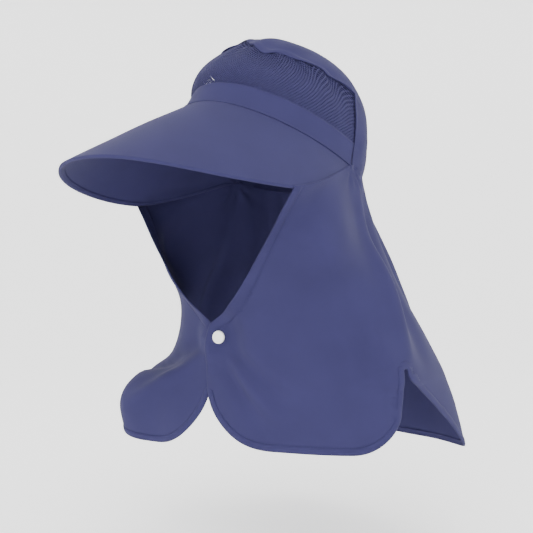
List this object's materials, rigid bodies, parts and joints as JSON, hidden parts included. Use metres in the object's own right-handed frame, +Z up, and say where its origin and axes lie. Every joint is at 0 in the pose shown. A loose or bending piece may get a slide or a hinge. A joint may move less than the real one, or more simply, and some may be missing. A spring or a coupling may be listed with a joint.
{
  "type": "flap sun hat",
  "caption": "Sun hat with a wide curved front brim, a crown of net and cloth, and a long neck flap closed under the chin by a snap.",
  "frame": {"origin": "where the hat sits on a head: the middle of the head opening, level with the two ear knots", "axes": "+Z up, -Y the way the wearer looks, +X the wearer's left"},
  "size_m": [0.3182, 0.3862, 0.4122],
  "materials": {
    "cloth": "smooth woven, matte",
    "net": "fine net, matte",
    "snap_white": "satin"
  },
  "bodies": {
    "root": {"mesh_panel": "net", "crown": "cloth", "front_band": "cloth", "brim": "cloth", "neck_flap": "cloth", "snap_cap": "snap_white", "snap_socket": "snap_white"}
  },
  "joints": []
}
